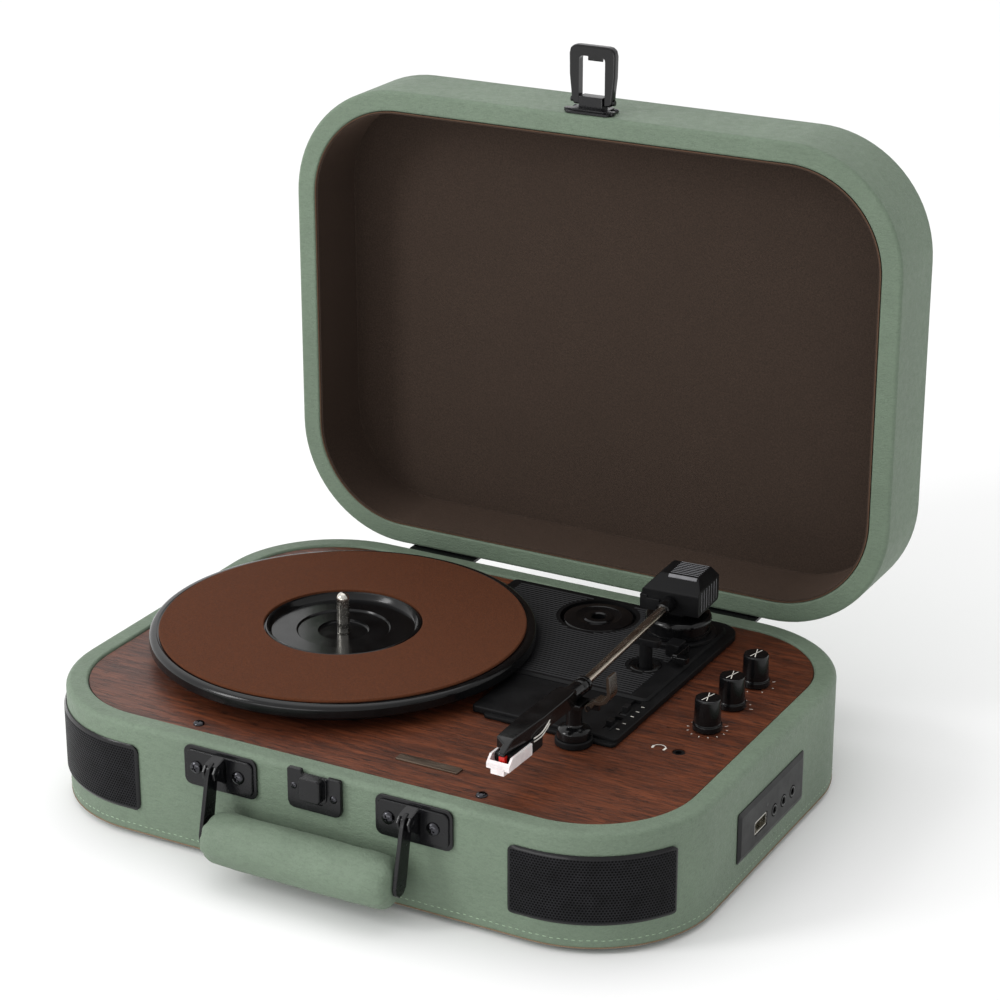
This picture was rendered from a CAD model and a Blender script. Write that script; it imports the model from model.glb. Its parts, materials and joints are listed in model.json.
"""Looks for the suitcase record player: skins, materials, light and camera round the CAD frame.

Shapes are drawn in millimetres in the case's own frame, lid closed: X from the middle of the
case, Y from its front face, Z from the floor. A matrix then sets each one in the row frame.
"""

import json
from math import atan2, cos, hypot, pi, radians, sin, sqrt

import bmesh
import bpy
from mathutils import Matrix, Vector, noise


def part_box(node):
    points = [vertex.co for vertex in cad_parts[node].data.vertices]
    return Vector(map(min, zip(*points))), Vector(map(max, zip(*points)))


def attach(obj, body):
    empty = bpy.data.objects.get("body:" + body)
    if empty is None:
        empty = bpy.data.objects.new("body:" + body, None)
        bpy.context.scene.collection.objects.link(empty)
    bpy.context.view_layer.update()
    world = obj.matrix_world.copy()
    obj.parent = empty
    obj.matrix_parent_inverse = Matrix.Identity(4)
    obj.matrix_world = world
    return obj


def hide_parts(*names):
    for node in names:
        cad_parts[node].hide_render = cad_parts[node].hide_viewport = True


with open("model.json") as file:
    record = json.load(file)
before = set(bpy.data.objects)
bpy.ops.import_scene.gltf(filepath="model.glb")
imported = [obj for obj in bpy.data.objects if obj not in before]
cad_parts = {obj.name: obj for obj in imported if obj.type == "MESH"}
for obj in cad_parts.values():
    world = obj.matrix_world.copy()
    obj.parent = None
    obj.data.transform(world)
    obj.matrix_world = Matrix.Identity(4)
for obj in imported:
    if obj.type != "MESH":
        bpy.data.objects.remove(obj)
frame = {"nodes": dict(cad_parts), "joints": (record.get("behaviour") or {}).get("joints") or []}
SCENE = bpy.context.scene
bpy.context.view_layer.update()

# ---- places
MM = 0.001
shell_low, shell_high = (Vector(corner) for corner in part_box("base_shell"))
CASE_W = (shell_high.x - shell_low.x) / MM
CASE_D = (shell_high.y - shell_low.y) / MM
BASE_TOP = shell_high.z / MM
MID_X = (shell_low.x + shell_high.x) / 2
CASE = Matrix.Translation((MID_X, shell_low.y, 0)) @ Matrix.Scale(MM, 4)
FROM_ROW = CASE.inverted()
JOINTS = {joint["name"]: joint for joint in frame["joints"]}


def joint_at(name):
    """A joint's point in the case's frame, in millimetres."""
    return FROM_ROW @ Vector(JOINTS[name]["pos_m"])


def turn(degrees, axis):
    return Matrix.Rotation(radians(degrees), 4, axis)


HINGE = joint_at("lid_hinge")
LID = CASE @ Matrix.Translation(HINGE) @ turn(-90, "X") @ Matrix.Translation(-HINGE)
PIVOT = joint_at("arm_lift")
TUBE_Z = PIVOT.z
TUBE_LINE = (0, 0, TUBE_Z)
HEADING = 2.8
NECK_AT = 126
ARM = CASE @ Matrix.Translation((PIVOT.x, PIVOT.y, 0)) @ turn(HEADING, "Z")
HEAD = ARM @ Matrix.Translation((0, -NECK_AT, 0)) @ turn(-4.3, "Z")
CLIP_PIN = joint_at("arm_clip_hinge")
CLIP = CASE @ Matrix.Translation(CLIP_PIN) @ turn(84, "Y")
SPINDLE = joint_at("platter_spin")

# ---- sizes, mm
SIDES = (("left", -1), ("right", 1))
PIN_R, PIN_BORE = 1.5, 1.85
TUBE_R = 2.4
HANDLE_PIN = (0, -8, 54)
HANDLE_PIN_R, HANDLE_BORE = 1.8, 2.1
CASE_R = 65
RIM = 11.5
EDGE = 3.1
DECK_TOP = 62
DECK_T = 4.5
LID_Z = BASE_TOP + 0.4
LID_TOP = LID_Z + 46
LID_CEILING = LID_TOP - 4
PLATTER_R = 101.2
FELT_R = 96
HUB_R = 41.5
PLATE_TOP = 66
RIB_TOP = 67.5
GRIP_Y, GRIP_Z = -15.3, 23.0
GRIP_R, GRIP_HALF = 14.2, 53.0
BRACKET_X = 54.5
LATCH_Y, LATCH_Z = -6.0, 73.0
LATCH_PIN = (0, LATCH_Y, LATCH_Z)
KNOB_X = 143.5
KNOB_YS = {"volume": 133.7, "source": 162.7, "pitch": 192.2}
SIDE = {"y0": 90, "y1": 170, "z0": 16.5, "z1": 43.5}
USB = (108.5, 123, 24, 31)
THROUGH_SIDE = (170, 190)
THROUGH_DECK = (50, 70)
JACK_YS = (132, 143.2, 154.4)
JACK_Z = 27.5
HEADPHONE = (142, 104)
CUE_AT = (89.2, 176)
ADAPTER_AT = (40, 220)
PLATE_LOW = 62.3


# ---- materials
def srgb(r, g, b):
    """A colour as seen on screen, 0 to 255, in the shader's own values."""
    linear = []
    for v in (r / 255, g / 255, b / 255):
        linear.append(v / 12.92 if v <= 0.04045 else ((v + 0.055) / 1.055) ** 2.4)
    return (*linear, 1.0)


class Look:
    """A material with a Principled shader and short calls for the nodes round it."""

    def __init__(self, name, **sockets):
        self.mat = bpy.data.materials.new(name)
        self.mat.use_nodes = True
        self.tree = self.mat.node_tree
        self.bsdf = self.tree.nodes["Principled BSDF"]
        for socket, value in sockets.items():
            self.put(socket.replace("_", " "), value)
        self.place = self.tree.nodes.new("ShaderNodeTexCoord")

    def node(self, kind, sockets=None, **settings):
        made = self.tree.nodes.new("ShaderNode" + kind)
        for key, value in settings.items():
            setattr(made, key, value)
        for key, value in (sockets or {}).items():
            self.feed(made.inputs[key], value)
        return made

    def feed(self, socket, value):
        """Links another node's output to a socket, or sets the socket to a plain value."""
        if hasattr(value, "is_output"):
            self.tree.links.new(value, socket)
        else:
            socket.default_value = value

    def put(self, socket, value):
        self.feed(self.bsdf.inputs[socket], value)

    def scaled(self, x, y, z):
        where = {"Vector": self.place.outputs["Object"], "Scale": (x, y, z)}
        return self.node("Mapping", where).outputs["Vector"]

    def noise(self, scale, detail=3.0, rough=0.55, vector=None, distortion=0.0):
        sockets = {"Scale": scale, "Detail": detail, "Roughness": rough, "Distortion": distortion}
        sockets["Vector"] = vector or self.place.outputs["Object"]
        return self.node("TexNoise", sockets).outputs["Fac"]

    def cells(self, scale):
        sockets = {"Scale": scale, "Vector": self.place.outputs["Object"]}
        return self.node("TexVoronoi", sockets).outputs["Distance"]

    def ramp(self, value, *stops):
        made = self.node("ValToRGB", {"Fac": value})
        band = made.color_ramp
        while len(band.elements) < len(stops):
            band.elements.new(0.5)
        for element, (at, colour) in zip(band.elements, stops):
            element.position = at
            element.color = colour if len(colour) == 4 else (*colour, 1)
        return made.outputs["Color"]

    def grey(self, value, low_at, low, high_at, high):
        return self.ramp(value, (low_at, (low, low, low)), (high_at, (high, high, high)))

    def mix(self, share, a, b):
        made = self.node("Mix", {0: share, 6: a, 7: b}, data_type="RGBA", blend_type="MIX")
        return made.outputs[2]

    def math(self, operation, a, b=0.0):
        return self.node("Math", {0: a, 1: b}, operation=operation).outputs[0]

    def bump(self, height, depth, strength=1.0, under=None):
        sockets = {"Height": height, "Distance": depth, "Strength": strength}
        if under is not None:
            sockets["Normal"] = under
        made = self.node("Bump", sockets).outputs["Normal"]
        self.put("Normal", made)
        return made


def shade(colour, factor):
    return (*(min(1.0, c * factor) for c in colour[:3]), 1)


def leatherette(name, colour):
    look = Look(name, Specular_IOR_Level=0.3, Sheen_Weight=0.04, Sheen_Roughness=0.5)
    broad = look.noise(13, 5, 0.65)
    tone = look.ramp(broad, (0.3, shade(colour, 0.88)), (0.7, shade(colour, 1.1)))
    creases = look.noise(1, 5, 0.62, look.scaled(300, 460, 800), 0.7)
    tone = look.mix(look.grey(creases, 0.34, 0.42, 0.56, 0), tone, shade(colour, 0.66))
    pores = look.noise(1500, 3, 0.6)
    tone = look.mix(look.grey(pores, 0.4, 0, 0.75, 0.3), tone, shade(colour, 0.62))
    look.put("Base Color", tone)
    look.put("Roughness", look.grey(look.noise(240, 3), 0.3, 0.5, 0.7, 0.66))
    soft = look.bump(creases, 0.0006, 0.55)
    look.bump(look.cells(1050), 0.0003, 0.5, soft)
    return look.mat


def walnut():
    look = Look("walnut_veneer", Coat_Weight=0.12, Coat_Roughness=0.35, Specular_IOR_Level=0.25)
    figure = look.noise(1, 8, 0.66, look.scaled(17, 130, 130), 1.2)
    wood = look.ramp(
        figure,
        (0.24, srgb(40, 18, 10)),
        (0.42, srgb(72, 35, 21)),
        (0.55, srgb(94, 48, 29)),
        (0.76, srgb(124, 68, 42)),
    )
    broad = look.grey(look.noise(9, 2), 0.35, 0, 0.65, 0.3)
    wood = look.mix(broad, wood, srgb(134, 76, 48))
    lines = look.noise(1, 6, 0.72, look.scaled(46, 640, 640), 0.4)
    wood = look.mix(look.grey(lines, 0.42, 0, 0.6, 0.6), wood, srgb(34, 16, 9))
    pores = look.noise(1, 3, 0.6, look.scaled(110, 1700, 1700))
    pore_mask = look.grey(pores, 0.56, 0, 0.64, 0.85)
    wood = look.mix(pore_mask, wood, srgb(16, 7, 4))
    look.put("Base Color", wood)
    look.put("Roughness", look.grey(lines, 0.3, 0.36, 0.7, 0.5))
    look.bump(pore_mask, -0.00015, 0.6)
    return look.mat


def cloth(name, colour, fibre, sheen, depth=0.00035):
    look = Look(name, Specular_IOR_Level=0.2, Sheen_Weight=sheen, Sheen_Roughness=0.45)
    look.put("Sheen Tint", shade(colour, 3.0))
    nap = look.noise(fibre, 5, 0.75)
    blotch = look.noise(38, 4, 0.6)
    tone = look.ramp(nap, (0.32, shade(colour, 0.6)), (0.68, shade(colour, 1.42)))
    tone = look.mix(look.grey(blotch, 0.35, 0, 0.65, 0.22), tone, shade(colour, 0.8))
    look.put("Base Color", tone)
    look.put("Roughness", look.grey(nap, 0.3, 0.86, 0.7, 0.98))
    look.bump(nap, depth, 0.55)
    return look.mat


def plastic(name, colour, low, high, grain=900, depth=0.00004, coat=0.0, shine=0.3):
    look = Look(name, Coat_Weight=coat, Coat_Roughness=0.1, Specular_IOR_Level=shine)
    wear = look.noise(85, 5, 0.62)
    fine = look.noise(grain, 3)
    look.put("Base Color", look.ramp(wear, (0.3, shade(colour, 0.78)), (0.7, shade(colour, 1.3))))
    look.put("Roughness", look.grey(wear, 0.32, low, 0.68, high))
    look.bump(fine, depth, 0.5)
    return look.mat


def metal(name, colour, low, high, stretch=(60, 60, 60)):
    look = Look(name, Metallic=1.0)
    brushed = look.noise(14, 4, 0.6, look.scaled(*stretch))
    look.put("Base Color", look.ramp(brushed, (0.3, shade(colour, 0.86)), (0.7, shade(colour, 1.1))))
    look.put("Roughness", look.grey(brushed, 0.3, low, 0.7, high))
    look.bump(brushed, 0.00002, 0.4)
    return look.mat


def mesh_grille():
    """Staggered round holes, 1.55 mm apart, drawn in the sheet's own UV in millimetres."""
    look = Look("grille_mesh", Specular_IOR_Level=0.12)
    pitch = 1.55
    far = []
    for shift in (0.0, 0.5):
        sockets = {"Vector": look.place.outputs["UV"], "Location": (shift, shift, 0)}
        sockets["Scale"] = (1 / pitch, 1 / (pitch * sqrt(3)), 0)
        wrapped = look.node("Mapping", sockets).outputs["Vector"]
        cell = look.node("VectorMath", {0: wrapped}, operation="FRACTION").outputs["Vector"]
        centred = look.node("VectorMath", {0: cell, 1: (0.5, 0.5, 0)}, operation="SUBTRACT")
        square = {0: centred.outputs["Vector"], 1: (1, sqrt(3), 0)}
        square = look.node("VectorMath", square, operation="MULTIPLY").outputs["Vector"]
        far.append(look.node("VectorMath", {0: square}, operation="LENGTH").outputs["Value"])
    hole = look.math("MINIMUM", far[0], far[1])
    web = look.grey(hole, 0.27, 0, 0.37, 1)
    dirt = look.noise(120, 4)
    tone = look.ramp(dirt, (0.3, srgb(19, 19, 21)), (0.7, srgb(31, 31, 34)))
    look.put("Base Color", look.mix(web, srgb(3, 3, 3), tone))
    look.put("Roughness", look.grey(web, 0, 0.95, 1, 0.42))
    look.bump(web, 0.0005, 0.8)
    return look.mat


GREEN = srgb(106, 122, 104)
M = {
    "green": leatherette("sage_leatherette", GREEN),
    "wood": walnut(),
    "lining": cloth("flocked_lining", srgb(55, 44, 37), 1100, 0.95, 0.0004),
    "felt": cloth("brown_felt", srgb(80, 43, 23), 1200, 0.05, 0.0006),
    "gloss": plastic("gloss_black", srgb(10, 10, 11), 0.13, 0.26, 700, 0.00001, 0.12, 0.25),
    "satin": plastic("satin_black", srgb(16, 16, 17), 0.3, 0.45, 1400, 0.00003, 0, 0.2),
    "matt": plastic("matt_black", srgb(14, 14, 15), 0.4, 0.58, 2600, 0.00008, 0, 0.14),
    "rib": plastic("rib_black", srgb(24, 24, 26), 0.36, 0.5, 2000, 0.00003, 0, 0.2),
    "line": plastic("worn_rib_edge", srgb(112, 112, 115), 0.3, 0.45, 2000, 0.00003, 0, 0.3),
    "enamel": plastic("black_enamel", srgb(13, 13, 15), 0.16, 0.3, 1900, 0.00008, 0.1, 0.25),
    "smoke": plastic("smoked_band", srgb(44, 34, 26), 0.16, 0.3, 700, 0.00001, 0.2, 0.4),
    "grille": mesh_grille(),
    "steel": metal("bright_plate", (0.55, 0.53, 0.48, 1), 0.14, 0.3),
    "tube": metal("champagne_tube", (0.52, 0.45, 0.38, 1), 0.16, 0.3, (60, 5, 60)),
    "screw": metal("dark_screw", (0.05, 0.05, 0.055, 1), 0.16, 0.3),
    "bronze": metal("plate_badge", (0.17, 0.13, 0.1, 1), 0.3, 0.5, (5, 60, 60)),
    "rubber": plastic("black_rubber", srgb(20, 20, 20), 0.75, 0.9, 800, 0.0001, 0, 0.2),
    "board": plastic("board_green", srgb(24, 66, 38), 0.4, 0.6, 500, 0.00003),
    "red": plastic("stylus_red", srgb(176, 24, 15), 0.25, 0.4, 600, 0.00001, 0.3),
    "print": plastic("printed_white", srgb(206, 202, 194), 0.5, 0.65, 1800, 0.00002),
    "thread": cloth("pale_thread", srgb(150, 170, 146), 2400, 0.1, 0.0001),
    "tan": cloth("raw_board_edge", srgb(132, 112, 92), 1800, 0.05, 0.0001),
    "card": cloth("liner_card_edge", srgb(82, 62, 48), 1800, 0.05, 0.0001),
}
guard_look = Look("milky_guard", Roughness=0.3, Transmission_Weight=0.0)
guard_look.put("Subsurface Weight", 0.35)
guard_look.put("Subsurface Radius", (0.003, 0.002, 0.002))
guard_tone = guard_look.noise(160, 3)
guard_look.put(
    "Base Color", guard_look.ramp(guard_tone, (0.35, srgb(214, 206, 206)), (0.7, srgb(236, 228, 228)))
)
guard_look.bump(guard_look.noise(500, 2), 0.00003, 0.4)
M["guard"] = guard_look.mat

# The material slot that each look belongs to, unless a piece says otherwise.
SLOTS = {
    **dict.fromkeys(("bronze", "steel", "tube"), "bright_metal"),
    **dict.fromkeys(("card", "lining"), "lining"),
    **dict.fromkeys(("enamel", "grille"), "black_metal"),
    "felt": "felt",
    **dict.fromkeys(("gloss", "satin", "smoke"), "black_plastic"),
    **dict.fromkeys(("green", "tan", "thread"), "leatherette"),
    **dict.fromkeys(("guard", "print"), "guard"),
    **dict.fromkeys(("line", "matt", "rib"), "matt_plastic"),
    "red": "stylus_red",
    "rubber": "rubber",
    "wood": "walnut",
}


# ---- shapes
def outline(w, d, r, cx=0.0, cy=0.0, n=8):
    """A rounded rectangle, counter-clockwise from its lower right corner; r may be four radii."""
    radii = r if isinstance(r, tuple) else (r,) * 4
    points = []
    for r, (sx, sy, start) in zip(radii, ((1, -1, -90), (1, 1, 0), (-1, 1, 90), (-1, -1, 180))):
        for i in range(n + 1):
            a = radians(start + 90 * i / n)
            x = cx + sx * (w / 2 - r) + r * cos(a)
            points.append((x, cy + sy * (d / 2 - r) + r * sin(a)))
    return points


def between(x0, x1, y0, y1, r, n=6):
    return outline(x1 - x0, y1 - y0, r, (x0 + x1) / 2, (y0 + y1) / 2, n)


def disc(cx, cy, r, n=32):
    step = 2 * pi / n
    return [(cx + r * cos(i * step), cy + r * sin(i * step)) for i in range(n)]


def capsule(x0, y0, x1, y1, r, n=8):
    a = atan2(y1 - y0, x1 - x0)
    points = []
    for cx, cy, start in ((x1, y1, a - pi / 2), (x0, y0, a + pi / 2)):
        for i in range(n + 1):
            t = start + pi * i / n
            points.append((cx + r * cos(t), cy + r * sin(t)))
    return points


SET = {
    "z": lambda u, v, w: (u, v, w),  # drawn in X and Y
    "y": lambda u, v, w: (u, w, v),  # drawn in X and Z
    "x": lambda u, v, w: (w, u, v),  # drawn in Y and Z
}


def bevelled(bm, width, segments=2, angle=28):
    if width:
        bmesh.ops.recalc_face_normals(bm, faces=bm.faces)
        sharp = []
        for edge in bm.edges:
            if len(edge.link_faces) == 2 and edge.calc_face_angle(0) > radians(angle):
                sharp.append(edge)
        bmesh.ops.bevel(
            bm, geom=sharp, offset=width, segments=segments, profile=0.6, affect="EDGES", clamp_overlap=True
        )
    return bm


def mesh_of(bm, name):
    """The finished mesh of a bmesh, which is freed."""
    mesh = bpy.data.meshes.new(name)
    bm.to_mesh(mesh)
    bm.free()
    return mesh


def stood(name, data):
    """A new object in the scene."""
    obj = bpy.data.objects.new(name, data)
    SCENE.collection.objects.link(obj)
    return obj


def evaluated(obj):
    """The object with its modifiers applied."""
    return obj.evaluated_get(bpy.context.evaluated_depsgraph_get())


def stacked(rings, bm=None, closed=False):
    """Faces from ring to ring; the ends are capped unless the rings close on themselves."""
    bm = bm or bmesh.new()
    rows = [[bm.verts.new(point) for point in ring] for ring in rings]
    pairs = list(zip(rows, rows[1:])) + ([(rows[-1], rows[0])] if closed else [])
    for a, b in pairs:
        for i in range(len(a)):
            k = (i + 1) % len(a)
            bm.faces.new((a[i], a[k], b[k], b[i]))
    if not closed:
        bm.faces.new(list(reversed(rows[0])))
        bm.faces.new(rows[-1])
    return bm


def prism(points, low, high, along="z", edge=0.0, segments=2):
    put = SET[along]
    rings = [[put(u, v, w) for u, v in points] for w in (low, high)]
    return bevelled(stacked(rings), edge, segments)


def box(x0, x1, y0, y1, z0, z1, edge=0.0, segments=2):
    corners = [(x0, y0), (x1, y0), (x1, y1), (x0, y1)]
    return prism(corners, z0, z1, "z", edge, segments)


def slab(x0, x1, y0, y1, low, high, r, along="z", edge=0.0, segments=2, n=6):
    """A plate with rounded corners."""
    return prism(between(x0, x1, y0, y1, r, n), low, high, along, edge, segments)


def turned(profile, at=(0, 0, 0), along="z", n=48):
    """A profile of (radius, height) points turned about the axis through a point."""
    bm = bmesh.new()
    put = SET[along]
    centre = Vector(at)
    rows = []
    for i in range(n):
        a = 2 * pi * i / n
        row = []
        for r, h in profile:
            row.append(bm.verts.new(centre + Vector(put(r * cos(a), r * sin(a), h))))
        rows.append(row)
    closes = profile[0][0] > 0
    count = len(profile)
    for i in range(n):
        a, b = rows[i], rows[(i + 1) % n]
        for k in range(count if closes else count - 1):
            m = (k + 1) % count
            bm.faces.new((a[k], a[m], b[m], b[k]))
    bmesh.ops.remove_doubles(bm, verts=bm.verts, dist=1e-5)
    bmesh.ops.dissolve_degenerate(bm, dist=1e-6, edges=bm.edges)
    return bm


def rod(r, low, high, at, along="z", n=48, bore=0):
    return turned([(bore, low), (r, low), (r, high), (bore, high)], at, along, n)


def joined(*parts):
    """Several closed shapes kept side by side in one mesh."""
    bm = bmesh.new()
    for part in parts:
        bmesh.ops.recalc_face_normals(part, faces=part.faces)
        mesh = mesh_of(part, "joined")
        bm.from_mesh(mesh)
        bpy.data.meshes.remove(mesh)
    return bm


def carved(solid, *cutters, operation="DIFFERENCE"):
    """The solid with each cutter taken out of it, or added to it."""

    def stand(bm, name):
        bmesh.ops.recalc_face_normals(bm, faces=bm.faces)
        return stood(name, mesh_of(bm, name))

    blank = stand(solid, "blank")
    tools = [stand(cutter, "cutter") for cutter in cutters]
    for tool in tools:
        step = blank.modifiers.new("carve", "BOOLEAN")
        step.operation = operation
        step.solver = "EXACT"
        step.object = tool
    made = bpy.data.meshes.new_from_object(evaluated(blank))
    bm = bmesh.new()
    bm.from_mesh(made)
    bmesh.ops.remove_doubles(bm, verts=bm.verts, dist=1e-4)
    for obj in (blank, *tools):
        mesh = obj.data
        bpy.data.objects.remove(obj)
        bpy.data.meshes.remove(mesh)
    bpy.data.meshes.remove(made)
    return bm


def piece(name, bm, body, look, replaces=None, space=CASE, slot=None, sharp=34):
    """A finished piece: set in place, smoothed between its sharp edges, and riding on its body."""
    bmesh.ops.recalc_face_normals(bm, faces=bm.faces)
    bmesh.ops.transform(bm, matrix=space, verts=bm.verts)
    mesh = mesh_of(bm, name)
    mesh.shade_smooth()
    mesh.set_sharp_from_angle(angle=radians(sharp))
    obj = stood(name, mesh)
    mesh.materials.append(M[look])
    even = obj.modifiers.new("even", "WEIGHTED_NORMAL")
    even.keep_sharp = True
    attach(obj, body)
    if replaces:
        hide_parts(replaces)
    slot or SLOTS[look]
    return obj


def arc(cx, cz, r, start, end, n=6):
    """Points on an arc, in degrees, from start to end."""
    points = []
    for i in range(n + 1):
        a = radians(start + (end - start) * i / n)
        points.append((cx + r * cos(a), cz + r * sin(a)))
    return points


def swept_case(profile, n=20):
    """Rounded-rectangle rings of the case, one per (inset, z) point."""
    rings = []
    for inset, z in profile:
        w, d = CASE_W - 2 * inset, CASE_D - 2 * inset
        rings.append([(x, y, z) for x, y in outline(w, d, max(CASE_R - inset, 1), 0, CASE_D / 2, n)])
    return rings


# ---- base
ROLL = 1.6
base_profile = [
    *arc(EDGE, 2 + EDGE, EDGE, 270, 180), (0, 20), (0, 40), *arc(EDGE, BASE_TOP - EDGE, EDGE, 180, 90),
    *arc(RIM - ROLL, BASE_TOP - ROLL, ROLL, 90, 0, 4), (RIM, DECK_TOP - DECK_T - 0.3),
    (RIM + 5.5, DECK_TOP - DECK_T - 0.3), (RIM + 5.5, 8),
]
side_window = box(CASE_W / 2 - 30, CASE_W / 2 + 5, SIDE["y0"] + 5, SIDE["y1"] - 5, 20, 40)
base_body = carved(stacked(swept_case(base_profile)), side_window)
piece("case_base", base_body, "base", "green", "base_shell")

for name in ("front_left", "front_right", "rear_left", "rear_right"):
    low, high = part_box("rubber_foot_" + name)
    middle = FROM_ROW @ ((Vector(low) + Vector(high)) / 2)
    foot = turned([(0, 0), (8.2, 0), (9, 0.7), (9, 3.4), (0, 3.4)], (middle.x, middle.y, 0), n=32)
    piece("foot_" + name, foot, "base", "rubber", "rubber_foot_" + name)


def along_case(distance, inset=0.0):
    """A point and direction on the case's outline, measured from the middle of its front."""
    straight_x = CASE_W - 2 * CASE_R
    straight_y = CASE_D - 2 * CASE_R
    bend = pi / 2 * CASE_R
    runs = [straight_x / 2, bend, straight_y, bend, straight_x, bend, straight_y, bend, straight_x / 2]
    x, y, heading = 0.0, 0.0, 0.0
    for i, run in enumerate(runs):
        step = min(distance, run)
        if i % 2:
            turned_by = step / CASE_R
            side = Vector((-sin(heading), cos(heading)))
            cx, cy = x + side.x * CASE_R, y + side.y * CASE_R
            heading += turned_by
            x = cx + CASE_R * sin(heading)
            y = cy - CASE_R * cos(heading)
        else:
            x += step * cos(heading)
            y += step * sin(heading)
        distance -= step
        if distance <= 0:
            break
    inward = Vector((-sin(heading), cos(heading)))
    return Vector((x + inward.x * inset, y + inward.y * inset)), heading


def stitches(z, pitch, length):
    """A row of thread stitches round the case at one height."""
    perimeter = 2 * (CASE_W + CASE_D - 4 * CASE_R) + 2 * pi * CASE_R
    count = int(perimeter / pitch)
    bm = bmesh.new()
    for i in range(count):
        point, heading = along_case(perimeter * i / count, 0.12)
        place = Matrix.Translation((point.x, point.y, z + 0.15 * sin(i * 1.7)))
        place = place @ Matrix.Rotation(heading + 0.03 * sin(i * 2.3), 4, "Z")
        place = place @ Matrix.Diagonal((length / 2, 0.3, 0.3, 1))
        bmesh.ops.create_icosphere(bm, subdivisions=1, radius=1, matrix=place)
    return bm


piece("base_stitches", stitches(7.6, 3.5, 2.5), "base", "thread")
hem = stacked(swept_case([(0.3, 3.2), (0.02, 3.3), (-0.12, 3.75), (0.3, 3.9)]), closed=True)
piece("base_hem", hem, "base", "tan")

# ---- deck
inset = RIM + 0.3
deck_outline = outline(CASE_W - 2 * inset, CASE_D - 2 * inset, CASE_R - inset, 0, CASE_D / 2, 20)
motor_at = FROM_ROW @ Vector(JOINTS["pulley_spin"]["pos_m"])
deck_cuts = [
    prism(disc(SPINDLE.x, SPINDLE.y, 68, 48), *THROUGH_DECK),
    prism(disc(motor_at.x, motor_at.y, 7, 24), *THROUGH_DECK),
    prism([(45, 104), (104, 104), (104, 236), (45, 236)], *THROUGH_DECK),
    prism(disc(*HEADPHONE, 3.4, 32), *THROUGH_DECK),
    *(prism(disc(KNOB_X, y, 4.2, 24), *THROUGH_DECK) for y in KNOB_YS.values()),
]
deck = carved(prism(deck_outline, DECK_TOP - DECK_T, DECK_TOP, edge=0.35), *deck_cuts)
piece("deck_board", deck, "base", "wood", "deck_panel")


def screw_mesh():
    """A pan-head cross-recess screw, 1 unit in radius, standing on Z = 0."""
    head = turned([(0, 0), (0.98, 0), (1, 0.08), (0.96, 0.26), (0.78, 0.44), (0.45, 0.55), (0, 0.58)], n=24)
    slots = []
    for angle in (0, 90):
        slot = prism([(-0.52, -0.11), (0.52, -0.11), (0.52, 0.11), (-0.52, 0.11)], 0.3, 1)
        bmesh.ops.rotate(slot, verts=slot.verts, matrix=Matrix.Rotation(radians(angle), 3, "Z"))
        slots.append(slot)
    pit = turned([(0, 0.2), (0.2, 0.34), (0.2, 1), (0, 1)], n=12)
    return mesh_of(carved(head, *slots, pit), "screw")


SCREW = screw_mesh()


def screws(name, places, body, space=CASE):
    """Screws given as (x, y, z, radius, facing); facing is the way the head points."""
    bm = bmesh.new()
    for i, (x, y, z, r, facing) in enumerate(places):
        tilt = {"up": Matrix.Identity(4), "front": turn(90, "X"), "back": turn(-90, "X")}[facing]
        place = Matrix.Translation((x, y, z)) @ tilt @ turn(23 + 41 * i, "Z") @ Matrix.Scale(r, 4)
        part = bmesh.new()
        part.from_mesh(SCREW)
        bmesh.ops.transform(part, matrix=place, verts=part.verts)
        mesh = mesh_of(part, "part")
        bm.from_mesh(mesh)
        bpy.data.meshes.remove(mesh)
    return piece(name, bm, body, "screw", space=space, slot="black_metal")


screws("deck_screws", [(x, 18.5, DECK_TOP - 0.1, 2.9, "up") for x in (-80, 80)], "base")
badge = slab(25, 59.5, 31.4, 37.4, DECK_TOP - 0.1, DECK_TOP + 0.9, 0.8, edge=0.3)
piece("blank_badge", badge, "base", "bronze")


def ribbon(points, width, z, thick=0.05):
    """A flat printed line through points."""
    bm = bmesh.new()
    for (x0, y0), (x1, y1) in zip(points, points[1:]):
        a = atan2(y1 - y0, x1 - x0)
        dx, dy = -sin(a) * width / 2, cos(a) * width / 2
        corners = [(x0 + dx, y0 + dy), (x1 + dx, y1 + dy), (x1 - dx, y1 - dy), (x0 - dx, y0 - dy)]
        stacked([[(x, y, z) for x, y in corners], [(x, y, z + thick) for x, y in corners]], bm)
    return bm


def dial_marks():
    """Ticks round the knobs and a headphone outline, with no lettering."""
    parts = []
    tick_r, phone_x = 9.3, 131.5
    for label, y in KNOB_YS.items():
        spread = {"volume": (-225, 45, 11), "source": (10, 70, 3), "pitch": (-225, 45, 7)}[label]
        for i in range(spread[2]):
            a = radians(spread[0] + (spread[1] - spread[0]) * i / (spread[2] - 1))
            long = 1.7 if i in (0, spread[2] - 1) else 1.0
            ends = [(KNOB_X + r * cos(a), y + r * sin(a)) for r in (tick_r, tick_r + long)]
            parts.append(ribbon(ends, 0.45, DECK_TOP))
    parts.append(ribbon(arc(phone_x, 103.6, 3.4, 20, 160, 10), 0.5, DECK_TOP))
    for sx in (-1, 1):
        parts.append(ribbon([(phone_x + sx * 3.3, 104.9), (phone_x + sx * 3.0, 102.2)], 1.2, DECK_TOP))
    return joined(*parts)


piece("printed_marks", dial_marks(), "base", "print", sharp=80)

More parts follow.
